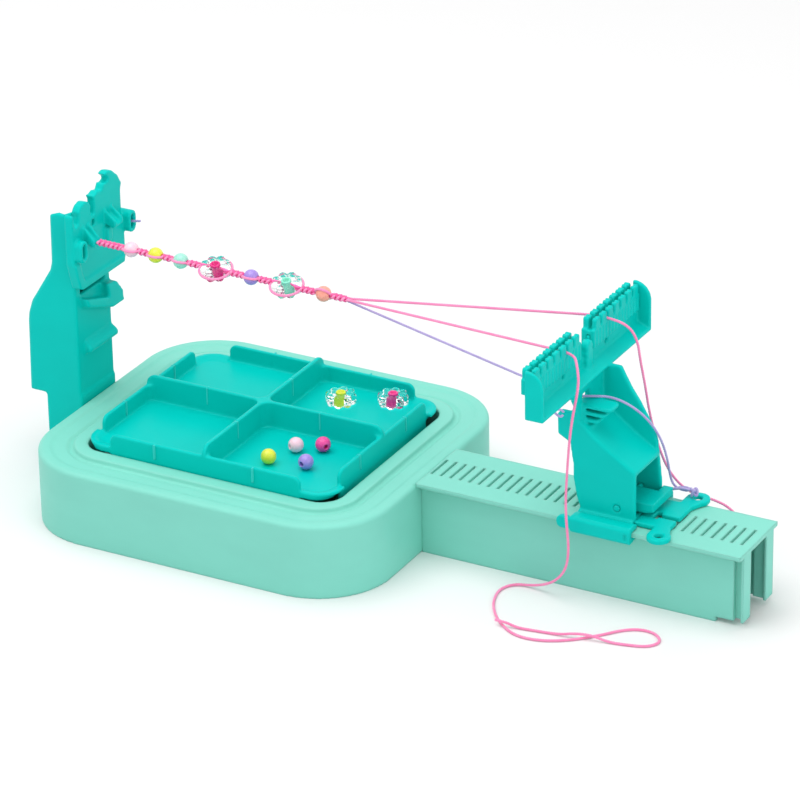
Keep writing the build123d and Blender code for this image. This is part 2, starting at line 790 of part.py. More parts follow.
with BuildPart() as tower_body:
    # deck with a window for the lever's tooth
    block((deck_start, deck_end), (-deck_half_width, deck_half_width), (deck_bottom, deck_top))
    block(
        (tooth_x - 1.6, tooth_x + 1.6),
        (-lever_half_width - 1, lever_half_width + 1),
        (deck_bottom, deck_top),
        Mode.SUBTRACT,
    )
    side_profile(near_cheek, (-cheek_outer, -cheek_inner))
    side_profile(far_cheek, (cheek_inner, cheek_outer))
    # sloping roof of the duct
    side_profile(
        [
            (163.4, duct_top),
            (153.0, 59.0),
            (145.0, 65.0),
            (neck_front, 69.4),
            (neck_front, 67.0),
            (144.2, 63.4),
            (152.2, 57.4),
            (163.4, duct_top - roof_thickness),
        ],
        (-cheek_inner, cheek_inner),
    )
    # back wall and neck
    front_profile(
        [
            (-cheek_outer, 45), (cheek_outer, 45), (cheek_outer, 74), (13.5, 78), (17.5, 80.6),
            (22.0, 81.6), (22.0, wing_bottom + 0.5), (-22.0, wing_bottom + 0.5), (-22.0, 81.6), (-17.5, 80.6),
            (-13.5, 78), (-cheek_outer, 74),
        ],
        (neck_back, neck_front),
    )
    # window that the core cord enters by
    block((neck_back, neck_front), neck_window_width, neck_window_heights, Mode.SUBTRACT)
    # stepped tongues
    for tongue in range(tongue_count):
        tip = tongue_first_tip + tongue * tongue_tip_step
        top = tongue_first_top + tongue * tongue_rise
        with BuildSketch(Plane.XY.offset(top - tongue_thickness)):
            with Locations(((neck_back + tip) / 2, (tongue_near + tongue_far) / 2)):
                Rectangle(tip - neck_back, tongue_far - tongue_near)
            fillet(vertices().sort_by(Axis.X)[-2:], 2.0)
        extrude(amount=tongue_thickness)
    # stem that the tongues grow from
    block((neck_front - 0.1, neck_front + 1.6), (tongue_near, tongue_near + 1.6), (66.0, 74.9))
    # cord cleat on the back of the near cheek
    side_profile(
        [(137.2, 59.0), (131.8, 62.0), (131.5, 70.0), (133.2, 72.0), (137.4, 72.0)],
        (-cheek_outer, -cheek_inner),
    )
    # wings
    side_profile(
        [
            (wing_back, wing_bottom),
            (wing_front, wing_bottom),
            (wing_front, wing_bottom + 1.2),
            (wing_blade_front + 0.7, 86.4),
            (wing_blade_front + 0.7, 90.6),
            (wing_back, 90.6),
        ],
        (-wing_half_length, wing_half_length),
    )
    for side in (-1, 1):
        block(
            (wing_back, wing_blade_front),
            (side * (comb_start - 0.6), side * wing_half_length),
            (90, wing_blade_top),
        )
        with BuildSketch(Plane.XZ.offset(-side * (wing_half_length - ear_thickness / 2))):
            with Locations(((wing_back + wing_front) / 2, (wing_bottom + ear_top) / 2)):
                Rectangle(wing_front - wing_back, ear_top - wing_bottom)
            fillet(vertices().group_by(Axis.Y)[-1].sort_by(Axis.X)[-1], ear_rounding)
        extrude(amount=ear_thickness / 2, both=True)
        # small snap slots in the wings' shelf
        hole_width = (side * 17.6 - 1.2, side * 17.6 + 1.2)
        block((wing_blade_front - 1, wing_front), hole_width, (88.2, 89.8), Mode.SUBTRACT)
    # lugged cleat between the combs
    block((wing_back, wing_blade_front), (-comb_start + 0.6, comb_start - 0.6), (90, 92.5))
    for height in cleat_lug_heights:
        with BuildSketch(Plane.YZ.offset(wing_blade_front - 0.1)):
            with Locations((0, height)):
                Circle(cleat_radius)
        extrude(amount=3.0)
    # bearing holes for the lever's pin
    with Locations(Plane.XZ.offset(-cheek_outer)):
        with Locations((pin_x, pin_z)):
            Hole(pin_radius + resting_gap, depth=2 * cheek_outer)
finish_part(tower_body, "tower_body")


# ---------------------------------------------------------------- combs
def comb_leg(side, x_limits, leg_bottom):
    # One leg of a comb, with a pair of rounded bumps for each lug along its top
    length_limits = (comb_start, wing_half_length - ear_thickness - resting_gap)
    slot_floor = cord_height - cord_radius - sliding_gap
    block(x_limits, [side * value for value in length_limits], (leg_bottom, slot_floor))
    bump_radius = (lug_pitch - lug_gap) / 4
    with BuildSketch(Plane.YZ.offset(min(x_limits))) as bumps:
        for lug in range(lug_count):
            for half in (-1, 1):
                y = side * (first_lug + lug * lug_pitch) + half * bump_radius
                middle = (slot_floor + lug_top - bump_radius) / 2
                with Locations((y, middle)):
                    Rectangle(2 * bump_radius, lug_top - bump_radius - slot_floor)
                with Locations((y, lug_top - bump_radius)):
                    Circle(bump_radius)
    extrude(bumps.sketch, amount=max(x_limits) - min(x_limits))


for name, side in (("left_comb", -1), ("right_comb", 1)):
    with BuildPart() as comb:
        comb_leg(side, (comb_back, wing_back - comb_inner_gap), comb_back_bottom)
        comb_leg(side, (wing_blade_front + comb_inner_gap, comb_front), comb_front_bottom)
        block(
            (comb_back, comb_front),
            (side * comb_start, side * (wing_half_length - ear_thickness - resting_gap)),
            (comb_web_bottom, comb_web_bottom + comb_web_thickness),
        )
        for flute in range(2 * lug_count):
            y = side * (first_lug - lug_pitch / 4 + flute * lug_pitch / 2)
            with Locations((comb_front, y, comb_front_bottom)):
                Cylinder(
                    flute_radius,
                    cord_height - comb_front_bottom - 1.2,
                    align=(Align.CENTER, Align.CENTER, Align.MIN),
                    mode=Mode.SUBTRACT,
                )
    finish_part(comb, name)

# ---------------------------------------------------------------- lock plate and clips
with BuildPart() as lock_plate:
    block(
        (deck_end, lock_plate_end), (-lock_plate_half_width, lock_plate_half_width), (deck_bottom, deck_top)
    )
    for side in (-1, 1):
        plan_profile(
            [
                (eyelet_x - eyelet_radius, side * (lock_plate_half_width - 2)),
                (eyelet_x - eyelet_radius, side * eyelet_y),
                (eyelet_x + eyelet_radius, side * eyelet_y),
                (lock_plate_end, side * (lock_plate_half_width - 2)),
            ],
            (deck_bottom, deck_top),
        )
        with Locations((eyelet_x, side * eyelet_y, deck_bottom)):
            Cylinder(eyelet_radius, deck_top - deck_bottom, align=(Align.CENTER, Align.CENTER, Align.MIN))
            Cylinder(
                eyelet_hole_radius,
                deck_top - deck_bottom,
                align=(Align.CENTER, Align.CENTER, Align.MIN),
                mode=Mode.SUBTRACT,
            )
    block((167.6, lock_plate_end), (-3.7, -1.2), (deck_bottom, deck_top), Mode.SUBTRACT)
    block((167.6, 169.8), (-5.2, 0.3), (deck_bottom, deck_top), Mode.SUBTRACT)
finish_part(lock_plate, "lock_plate")

clip_wall_inner = flange_half_width + loose_gap
for name, side in (("near_clip", -1), ("far_clip", 1)):
    with BuildPart() as clip:
        front_profile(
            [
                (side * deck_half_width, deck_bottom),
                (side * clip_wall_inner, deck_bottom),
                (side * clip_wall_inner, flange_bottom - loose_gap),
                (side * (rail_wall_outer + 0.8), flange_bottom - loose_gap),
                (side * (rail_wall_outer + 0.8), clip_bottom + 0.6),
                (side * (clip_outer - 1.0), clip_bottom),
                (side * clip_outer, clip_bottom + 1.0),
                (side * clip_outer, clip_top - 1.2),
                (side * (clip_outer - 1.2), clip_top),
                (side * (deck_half_width + 2.4), clip_top),
                (side * deck_half_width, clip_top - 0.6),
            ],
            (clip_start, clip_end),
        )
        # finger knob at the clip's end
        with BuildSketch(Plane.XZ.offset(-side * clip_outer)):
            with Locations(((knob_start + clip_start) / 2 + 0.2, 30.5)):
                RectangleRounded(clip_start - knob_start + 0.4, 5.0, 2.2)
        extrude(amount=side * (clip_outer - clip_wall_inner))
        groove_width = (side * (clip_outer - 0.8), side * clip_outer)
        block((clip_end - 2.6, clip_end - 1.4), groove_width, (28, 31), Mode.SUBTRACT)
    finish_part(clip, name)

# ---------------------------------------------------------------- release lever
with BuildPart() as release_lever:
    side_profile(
        [
            (tooth_back, deck_top + 0.6),
            (tooth_back, deck_top + 2.4),
            (pin_x - 3.0, pin_z + 1.8),
            (pin_x + 3.0, pin_z + 1.8),
            (pin_x + 9.0, 38.3),
            (pin_x + 12.5, 38.5),
            (pin_x + 12.5, 35.4),
            (pin_x + 9.0, deck_top + 1.6),
            (pin_x + 3.0, pin_z - 2.0),
            (pin_x - 3.0, pin_z - 2.0),
        ],
        (-lever_half_width, lever_half_width),
    )
    # thumb pad, wider on the far side
    block((164.8, pin_x + 12.5), (lever_half_width, 10.8), (35.4, 38.4))
    # tooth that drops into a rail slot
    block(
        (tooth_back, tooth_front),
        (-lever_half_width, lever_half_width),
        (rail_top - tooth_depth, deck_top + 2.4),
    )
    rod((pin_x, -lever_half_width, pin_z), (0, 1, 0), pin_radius + 0.05, 2 * lever_half_width, Mode.SUBTRACT)
finish_part(release_lever, "release_lever")

with BuildPart() as lever_pin:
    rod((pin_x, -cheek_outer, pin_z), (0, 1, 0), pin_radius, 2 * cheek_outer)
finish_part(lever_pin, "lever_pin")

# ---------------------------------------------------------------- braid and its beads
braid_run = braid_end - braid_start
braid_direction = braid_run.normalized()
flower_tilt = radians(14)
flower_up = Vector(0, -sin(flower_tilt), cos(flower_tilt))
round_stations = {
    "braid_bead_pale_pink": 14.4,
    "braid_bead_yellow": 25.1,
    "braid_bead_mint": 36.1,
    "braid_bead_purple": 66.6,
    "braid_bead_peach": 97.5,
}
flower_stations = {"flower_core_magenta": 51.3, "flower_core_mint": 81.8}


def along_braid(station):
    return braid_start + braid_direction * station


with BuildPart() as braid:
    rod(braid_start, braid_direction, braid_radius, braid_run.length)
    for station in round_stations.values():
        gap = bead_radius + resting_gap
        rod(along_braid(station - gap), braid_direction, braid_radius + 1, 2 * gap, Mode.SUBTRACT)
    for station in flower_stations.values():
        gap = flower_radius + resting_gap
        rod(along_braid(station - gap), braid_direction, braid_radius + 1, 2 * gap, Mode.SUBTRACT)
    rod(along_braid(1), braid_direction, braid_thin_radius, braid_run.length - 2)
finish_part(braid, "braid")

for name, station in round_stations.items():
    with BuildPart() as bead:
        round_bead(along_braid(station), braid_direction)
    finish_part(bead, name)

with BuildPart() as braid_flower_petals:
    for station in flower_stations.values():
        flower_petals(flower_place(along_braid(station), flower_up, braid_direction))
finish_part(braid_flower_petals, "braid_flower_petals")

for name, station in flower_stations.items():
    with BuildPart() as core:
        flower_core(flower_place(along_braid(station), flower_up, braid_direction))
    finish_part(core, name)

# ---------------------------------------------------------------- beads that lie in the tray
bead_level = tray_floor + bead_radius + resting_gap
flower_level = tray_floor + flower_core_height / 2 + resting_gap
tray_beads = {
    "tray_bead_yellow": ((18.4, -28.6, bead_level), (1, 0.4, 0)),
    "tray_bead_pale_pink": ((22.8, -15.4, bead_level), (0.6, 1, 0)),
    "tray_bead_hot_pink": ((31.8, -10.4, bead_level), (1, -0.7, 0)),
    "tray_bead_lilac": ((33.3, -26.2, bead_level), (0.2, 1, 0)),
}
tray_flowers = {
    "tray_flower_core_yellow": (17.6, 28.9, flower_level),
    "tray_flower_core_pink": (36.1, 37.2, flower_level),
}
for name, (centre, hole_direction) in tray_beads.items():
    with BuildPart() as bead:
        round_bead(centre, hole_direction)
    finish_part(bead, name)

with BuildPart() as tray_flower_petals:
    for centre in tray_flowers.values():
        flower_petals(flower_place(centre, (0, 0, 1), (1, 0.3, 0)))
finish_part(tray_flower_petals, "tray_flower_petals")

for name, centre in tray_flowers.items():
    with BuildPart() as core:
        flower_core(flower_place(centre, (0, 0, 1), (1, 0.3, 0)))
    finish_part(core, name)

# ---------------------------------------------------------------- tight cords from the braid to the tower
span_start_x = braid_end.X + 0.2
comb_face = comb_back - 0.4
core_span_end = Vector(130.9, -6.0, 76.2)
spans = {
    "pink_span_left": (
        Vector(span_start_x, -5.75, 95.4), Vector(comb_face, -cord_slot_y, cord_height), cord_radius,
    ),
    "pink_span_right": (
        Vector(span_start_x, -4.25, 95.4), Vector(comb_face, cord_slot_y, cord_height), cord_radius,
    ),
    "lilac_span": (Vector(span_start_x, -5.0, 94.1), core_span_end, core_cord_radius),
}
for name, (start, end, radius) in spans.items():
    with BuildPart() as span:
        taut_cord(start, end, radius)
    finish_part(span, name)

# ---------------------------------------------------------------- free cord ends
near_tail_points = [
    (comb_back - 0.1, -cord_slot_y, cord_height),
    (141.3, -cord_slot_y, cord_height),
    (144.6, -20.6, 96.0),
    (147.0, -24.2, 92.2),
    (147.4, -26.4, 87.6),
    (146.0, -27.0, 79.5),
    (144.4, -26.6, 68.8),
    (143.0, -25.5, 56.1),
    (141.8, -24.5, 43.1),
    (142.0, -24.2, 33.0),
    (142.9, -24.0, 23.4),
    (141.8, -23.6, 14.6),
    (137.6, -22.6, 8.2),
    (131.5, -20.8, 3.7),
    (124.6, -19.2, 1.0),
    (118.4, -20.2, floor_height),
    (115.2, -26.0, floor_height),
    (117.1, -34.8, floor_height),
    (121.6, -43.0, floor_height),
    (128.1, -50.2, floor_height),
    (136.9, -55.8, floor_height),
    (146.8, -55.1, floor_height),
    (156.3, -49.8, floor_height),
    (164.4, -41.5, floor_height),
    (170.4, -33.6, floor_height),
    (176.6, -30.4, floor_height),
    (182.7, -31.4, floor_height),
    (186.6, -36.4, floor_height),
    (183.6, -41.6, floor_height),
    (176.2, -43.6, floor_height),
    (169.6, -44.8, floor_height),
    (163.4, -45.6, 2.2),
    (157.2, -46.7, 2.2),
    (150.6, -47.8, floor_height),
    (141.6, -49.0, floor_height),
    (134.4, -50.0, floor_height),
    (130.4, -50.6, 2.2),
    (126.2, -51.0, 2.3),
]
far_tail_points = [
    (comb_back - 0.1, cord_slot_y, cord_height),
    (141.3, cord_slot_y, cord_height),
    (147.6, 17.0, 96.6),
    (150.6, 17.2, 91.4),
    (151.6, 17.2, 84.5),
    (153.6, 17.4, 74.5),
    (155.4, 17.8, 62.5),
    (158.6, 18.6, 50.0),
    (162.0, 20.0, 40.2),
    (166.6, 22.2, 33.2),
    (172.6, 24.2, 29.8),
    (179.2, 24.8, 29.2),
    (185.4, 24.8, 27.4),
    (190.0, 25.2, 22.4),
    (191.6, 26.2, 15.0),
    (190.4, 27.8, 7.8),
    (186.4, 30.2, 2.6),
    (179.6, 33.4, floor_height),
    (170.2, 35.8, floor_height),
    (159.0, 34.4, floor_height),
    (147.6, 31.6, floor_height),
    (136.0, 32.6, floor_height),
    (127.4, 38.4, floor_height),
    (125.6, 47.4, floor_height),
    (132.2, 54.2, floor_height),
    (142.8, 55.2, floor_height),
    (153.8, 51.6, floor_height),
    (164.0, 48.2, floor_height),
    (173.4, 49.4, floor_height),
]
core_tail_points = [
    (131.3, -6.0, 76.1),
    (137.6, -4.9, 75.9),
    (142.6, -2.4, 75.9),
    (147.2, 0.8, 75.3),
    (152.4, 3.0, 73.2),
    (157.4, 5.2, 69.4),
    (161.4, 7.8, 63.8),
    (163.6, 10.2, 57.6),
    (164.5, 12.4, 51.6),
    (165.0, 14.2, 45.4),
    (165.3, 15.2, 40.2),
    (166.2, 16.0, 36.6),
    (169.0, 16.3, 34.9),
    (172.2, 16.1, 35.4),
]
with BuildPart() as near_tail:
    cord_along("near_tail", near_tail_points, cord_radius)
finish_part(near_tail, "near_tail")

with BuildPart() as far_tail:
    cord_along("far_tail", far_tail_points, cord_radius)
finish_part(far_tail, "far_tail")

with BuildPart() as core_tail:
    cord_along("core_tail", core_tail_points, core_cord_radius)
finish_part(core_tail, "core_tail")

# knot of the lilac cord on the far eyelet, with two turns round the eyelet's rim
knot_radius = 1.9
with BuildPart() as eyelet_knot:
    with Locations((eyelet_x - 1.4, eyelet_y - 0.8, deck_top + knot_radius + resting_gap)):
        Sphere(knot_radius)
    with Locations((eyelet_x - 1.4, eyelet_y - 0.8, deck_top + 1.5 * knot_radius)):
        Sphere(0.8 * knot_radius)
finish_part(eyelet_knot, "eyelet_knot")

# end of the lilac cord in the post's far ring
with BuildPart() as core_anchor:
    taut_cord((post_front + 0.6, 20.4, 95.2), (hook_front + ring_reach + 3.0, 20.9, 96.4), core_cord_radius)
finish_part(core_anchor, "core_anchor")
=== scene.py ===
import math

import bpy
import numpy as np
from mathutils import Matrix, Vector


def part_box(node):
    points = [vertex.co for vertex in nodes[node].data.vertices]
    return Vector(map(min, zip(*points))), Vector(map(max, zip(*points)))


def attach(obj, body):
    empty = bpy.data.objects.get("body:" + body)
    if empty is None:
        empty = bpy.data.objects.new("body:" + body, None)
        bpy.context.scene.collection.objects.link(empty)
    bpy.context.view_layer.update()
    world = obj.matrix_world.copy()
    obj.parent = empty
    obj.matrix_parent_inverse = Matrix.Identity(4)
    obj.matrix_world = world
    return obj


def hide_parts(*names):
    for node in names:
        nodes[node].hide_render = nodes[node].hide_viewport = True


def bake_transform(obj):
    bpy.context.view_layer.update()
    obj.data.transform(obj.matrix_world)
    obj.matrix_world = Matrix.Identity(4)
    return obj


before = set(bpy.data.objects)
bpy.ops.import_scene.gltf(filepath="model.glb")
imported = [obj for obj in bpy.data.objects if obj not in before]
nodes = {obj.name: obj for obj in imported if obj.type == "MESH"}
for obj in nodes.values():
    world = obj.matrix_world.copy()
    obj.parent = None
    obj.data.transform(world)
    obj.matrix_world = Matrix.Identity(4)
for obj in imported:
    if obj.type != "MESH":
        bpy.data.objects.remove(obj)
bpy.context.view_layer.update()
scene = bpy.context.scene
print("frame loaded:", len(nodes), "nodes")


# ---- camera ----
cameraLook = {
    "place": (0.80236, -1.33953, 0.79469),
    "right": (0.87828, 0.47787, -0.01633),
    "up": (-0.19489, 0.38894, 0.90041),
    "lens": 203.1,  # mm, on a sensor 36 mm wide
}
right, up = Vector(cameraLook["right"]).normalized(), Vector(cameraLook["up"]).normalized()
back = right.cross(up).normalized()
up = back.cross(right)
camera = bpy.data.objects.new("camera", bpy.data.cameras.new("camera"))
scene.collection.objects.link(camera)
turned = Matrix((right, up, back)).transposed().to_4x4()
camera.matrix_world = Matrix.Translation(cameraLook["place"]) @ turned
camera.data.lens = cameraLook["lens"]
camera.data.sensor_width = 36
scene.camera = camera
scene.view_settings.view_transform = "Standard"
print("camera set")


# ---- smooth lines and tubes ----
def splineLine(points, fineness=20):
    # the smooth line through a cord's control points (mm), read from its NURBS spline (m)
    curve = bpy.data.curves.new("route", "CURVE")
    curve.dimensions = "3D"
    spline = curve.splines.new("NURBS")
    spline.points.add(len(points) - 1)
    for knot, place in zip(spline.points, points):
        knot.co = (place[0] / 1000, place[1] / 1000, place[2] / 1000, 1)
    spline.order_u = 3
    spline.use_endpoint_u = True
    spline.resolution_u = fineness
    holder = bpy.data.objects.new("route", curve)
    scene.collection.objects.link(holder)
    bpy.context.view_layer.update()
    mesh = bpy.data.meshes.new_from_object(holder.evaluated_get(bpy.context.evaluated_depsgraph_get()))
    line = np.array([vertex.co for vertex in mesh.vertices], float)
    bpy.data.meshes.remove(mesh)
    bpy.data.objects.remove(holder)
    bpy.data.curves.remove(curve)
    keep = np.r_[True, np.linalg.norm(np.diff(line, axis=0), axis=1) > 1e-6]
    return line[keep]


def sideways(line):
    # along-vectors of a line, and two across-vectors that turn with it as little as they can
    along = np.gradient(line, axis=0)
    along /= np.linalg.norm(along, axis=1)[:, None]
    first = np.cross(along[0], (0.31, 0.17, 0.93))
    across = [first / np.linalg.norm(first)]
    for forward in along[1:]:
        turned = across[-1] - forward * np.dot(across[-1], forward)
        across.append(turned / np.linalg.norm(turned))
    across = np.array(across)
    return across, np.cross(along, across)


def meshPiece(name, corners, faces, smooth=True):
    mesh = bpy.data.meshes.new(name)
    mesh.from_pydata(corners, [], faces)
    mesh.polygons.foreach_set("use_smooth", [smooth] * len(mesh.polygons))
    piece = bpy.data.objects.new(name, mesh)
    scene.collection.objects.link(piece)
    return piece


def hoopFaces(hoops, perHoop):
    # the faces of a closed chain of closed hoops, each hoop's corners listed in turn
    faces = []
    for hoop in range(hoops):
        first, following = hoop * perHoop, (hoop + 1) % hoops * perHoop
        for step in range(perHoop):
            after = (step + 1) % perHoop
            faces.append((first + step, following + step, following + after, first + after))
    return faces


def tubes(name, lines, radii, sides=8):
    # one mesh with a round, capped tube along each line
    corners, faces = [], []
    turns = np.arange(sides) * 2 * math.pi / sides
    for line, radius in zip(lines, radii):
        across, over = sideways(line)
        radius = np.broadcast_to(np.asarray(radius, float), (len(line),))
        ring = (
            line[:, None]
            + radius[:, None, None] * np.cos(turns)[None, :, None] * across[:, None]
            + radius[:, None, None] * np.sin(turns)[None, :, None] * over[:, None]
        )
        first = len(corners)
        corners.extend(map(tuple, ring.reshape(-1, 3)))
        for row in range(len(line) - 1):
            for side in range(sides):
                a = first + row * sides + side
                b = first + row * sides + (side + 1) % sides
                faces.append((a, b, b + sides, a + sides))
        faces.append(tuple(first + side for side in reversed(range(sides))))
        last = first + (len(line) - 1) * sides
        faces.append(tuple(last + side for side in range(sides)))
    return meshPiece(name, corners, faces)


def arcLength(line):
    return np.r_[0, np.cumsum(np.linalg.norm(np.diff(line, axis=0), axis=1))]


def twistedCord(name, line, radius, pitch, plies=3):
    # a cord laid from plies, each a tube that winds round the line
    across, over = sideways(line)
    travelled = arcLength(line)
    plyRadius = radius * 0.5
    lines = []
    for ply in range(plies):
        turn = travelled * 2 * math.pi / pitch + ply * 2 * math.pi / plies
        reach = radius - plyRadius
        lines.append(line + reach * (np.cos(turn)[:, None] * across + np.sin(turn)[:, None] * over))
    return tubes(name, lines, [plyRadius] * plies, 7)


# ---- free cords: the same points as in the part's source, in mm ----
cordLook = {"pinkRadius": 0.00055, "lilacRadius": 0.0005, "pitch": 0.0030}
nearTailRoute = [
    (133.2, -16.55, 98.9), (141.3, -16.55, 98.9), (144.6, -20.6, 96.0), (147.0, -24.2, 92.2),
    (147.4, -26.4, 87.6), (146.0, -27.0, 79.5), (144.4, -26.6, 68.8), (143.0, -25.5, 56.1),
    (141.8, -24.5, 43.1), (142.0, -24.2, 33.0), (142.9, -24.0, 23.4), (141.8, -23.6, 14.6),
    (137.6, -22.6, 8.2), (131.5, -20.8, 3.7), (124.6, -19.2, 1.0), (118.4, -20.2, 0.6),
    (115.2, -26.0, 0.6), (117.1, -34.8, 0.6), (121.6, -43.0, 0.6), (128.1, -50.2, 0.6),
    (136.9, -55.8, 0.6), (146.8, -55.1, 0.6), (156.3, -49.8, 0.6), (164.4, -41.5, 0.6),
    (170.4, -33.6, 0.6), (176.6, -30.4, 0.6), (182.7, -31.4, 0.6), (186.6, -36.4, 0.6),
    (183.6, -41.6, 0.6), (176.2, -43.6, 0.6), (169.6, -44.8, 0.6), (163.4, -45.6, 2.2),
    (157.2, -46.7, 2.2), (150.6, -47.8, 0.6), (141.6, -49.0, 0.6), (134.4, -50.0, 0.6),
    (130.4, -50.6, 2.2), (126.2, -51.0, 2.3),
]
farTailRoute = [
    (133.2, 16.55, 98.9), (141.3, 16.55, 98.9), (147.6, 17.0, 96.6), (150.6, 17.2, 91.4),
    (151.6, 17.2, 84.5), (153.6, 17.4, 74.5), (155.4, 17.8, 62.5), (158.6, 18.6, 50.0),
    (162.0, 20.0, 40.2), (166.6, 22.2, 33.2), (172.6, 24.2, 29.8), (179.2, 24.8, 29.2),
    (185.4, 24.8, 27.4), (190.0, 25.2, 22.4), (191.6, 26.2, 15.0), (190.4, 27.8, 7.8),
    (186.4, 30.2, 2.6), (179.6, 33.4, 0.6), (170.2, 35.8, 0.6), (159.0, 34.4, 0.6),
    (147.6, 31.6, 0.6), (136.0, 32.6, 0.6), (127.4, 38.4, 0.6), (125.6, 47.4, 0.6),
    (132.2, 54.2, 0.6), (142.8, 55.2, 0.6), (153.8, 51.6, 0.6), (164.0, 48.2, 0.6),
    (173.4, 49.4, 0.6),
]
coreTailRoute = [
    (131.3, -6.0, 76.1), (137.6, -4.9, 75.9), (142.6, -2.4, 75.9), (147.2, 0.8, 75.3),
    (152.4, 3.0, 73.2), (157.4, 5.2, 69.4), (161.4, 7.8, 63.8), (163.6, 10.2, 57.6),
    (164.5, 12.4, 51.6), (165.0, 14.2, 45.4), (165.3, 15.2, 40.2), (166.2, 16.0, 36.6),
    (169.0, 16.3, 34.9), (172.2, 16.1, 35.4),
]


def freeCord(name, node, route, radius):
    line = splineLine(route)
    piece = twistedCord(name, line, radius, cordLook["pitch"])
    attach(piece, "carriage")
    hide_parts(node)
    return piece


# ---- knot on the eyelet ----
knotLook = {
    "centre": (174.5, 16.2, 35.3), "reach": 0.4464, "height": 0.6, "thread": 0.0005,
    "ends": [
        [
            (173.6, 16.0, 35.9), (171.0, 15.4, 36.4), (168.4, 15.0, 36.0), (165.6, 14.8, 35.0),
            (163.4, 14.6, 34.2),
        ],
        [
            (174.0, 16.9, 35.4), (171.6, 17.6, 35.9), (168.8, 17.8, 35.4), (166.2, 17.4, 34.4),
            (164.8, 17.0, 33.9),
        ],
    ],
}


def knotLine(centre, reach, height):
    # a three-lobed overhand knot
    turn = np.linspace(0, 2 * math.pi, 121)[:, None]
    wide = reach * (np.sin(turn) + 2 * np.sin(2 * turn))
    deep = reach * (np.cos(turn) - 2 * np.cos(2 * turn))
    return (np.array(centre) + np.hstack([wide, deep, -2 * height * np.sin(3 * turn)])) / 1000


knotLines = [knotLine(knotLook["centre"], knotLook["reach"], knotLook["height"])]
knotLines += [splineLine(route, 8) for route in knotLook["ends"]]
knot = tubes("cordKnot", knotLines, [knotLook["thread"]] * len(knotLines), 10)
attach(knot, "carriage")
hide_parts("eyelet_knot")

nearTail = freeCord("nearTailCord", "near_tail", nearTailRoute, cordLook["pinkRadius"])
farTail = freeCord("farTailCord", "far_tail", farTailRoute, cordLook["pinkRadius"])
cleatLoop = {
    "centre": (133.6, -13.6, 72.0), "wide": 1.9, "tall": 1.3, "wave": 0.4,  # mm
    "gap": 0.3, "thread": 0.00045,  # radians left open at each end; m
}
loopTurn = np.linspace(cleatLoop["gap"], 2 * math.pi - cleatLoop["gap"], 60)[:, None]
loopLine = np.array(cleatLoop["centre"]) + np.hstack([
    cleatLoop["wide"] * np.cos(loopTurn),
    cleatLoop["wave"] * np.sin(2 * loopTurn),
    cleatLoop["tall"] * np.sin(loopTurn),
])
loop = tubes("cleatLoop", [loopLine / 1000], [cleatLoop["thread"]], 10)
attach(loop, "carriage")
coreTail = freeCord(
    "coreTailCord", "core_tail", coreTailRoute, cordLook["lilacRadius"]
)
print("free cords laid")


# ---- shader wiring ----
class Wire:
    # an output socket of a graph: operators on it add Math nodes
    def __init__(self, graph, socket):
        self.graph = graph
        self.socket = socket

    def __add__(self, other): return self.graph.maths("ADD", self, other)
    def __radd__(self, other): return self.graph.maths("ADD", other, self)
    def __sub__(self, other): return self.graph.maths("SUBTRACT", self, other)
    def __rsub__(self, other): return self.graph.maths("SUBTRACT", other, self)
    def __mul__(self, other): return self.graph.maths("MULTIPLY", self, other)
    def __rmul__(self, other): return self.graph.maths("MULTIPLY", other, self)
    def __truediv__(self, other): return self.graph.maths("DIVIDE", self, other)
    def __rtruediv__(self, other): return self.graph.maths("DIVIDE", other, self)
    def __pow__(self, other): return self.graph.maths("POWER", self, other)
    def __gt__(self, other): return self.graph.maths("GREATER_THAN", self, other)
    def __lt__(self, other): return self.graph.maths("LESS_THAN", self, other)


class Graph:
    # a node tree that is written as expressions
    def __init__(self, tree):
        self.tree = tree
        tree.nodes.clear()

    def node(self, kind, settings=None, sockets=None, output=0):
        made = self.tree.nodes.new("ShaderNode" + kind)
        for key, value in (settings or {}).items():
            if key == "stops":
                stops = made.color_ramp.elements
                while len(stops) < len(value):
                    stops.new(0.5)
                for stop, (place, colour) in zip(stops, value):
                    stop.position = place
                    stop.color = colour
            else:
                setattr(made, key, value)
        for key, value in (sockets or {}).items():
            if isinstance(value, Wire):
                self.tree.links.new(value.socket, made.inputs[key])
            else:
                made.inputs[key].default_value = value
        return Wire(self, made.outputs[output]) if len(made.outputs) else None

    def maths(self, operation, first, second=0.0, clamp=False):
        return self.node("Math", {"operation": operation, "use_clamp": clamp}, {0: first, 1: second})

    def mix(self, factor, first, second, blend="MIX"):
        settings = {"data_type": "RGBA", "blend_type": blend}
        return self.node("Mix", settings, {0: factor, 6: first, 7: second}, 2)

    def noise(self, scale, detail=3.0, stretch=(1, 1, 1)):
        place = self.node("TexCoord", output=3)
        place = self.node("Mapping", {}, {"Vector": place, "Scale": stretch})
        return self.node("TexNoise", {}, {"Vector": place, "Scale": scale, "Detail": detail})


def colour(red, green, blue):
    # a screen colour, 0 to 255, as the linear colour that shaders use
    def linear(level):
        level /= 255
        return level / 12.92 if level <= 0.04045 else ((level + 0.055) / 1.055) ** 2.4

    return (linear(red), linear(green), linear(blue), 1.0)


def shade(tint, factor):
    return tuple(min(1.0, channel * factor) for channel in tint[:3]) + (1.0,)


def newFinish(name):
    material = bpy.data.materials.new(name)
    material.use_nodes = True
    return material, Graph(material.node_tree)


def closeFinish(graph, sockets):
    surface = graph.node("BsdfPrincipled", {}, sockets)
    graph.node("OutputMaterial", {}, {"Surface": surface})


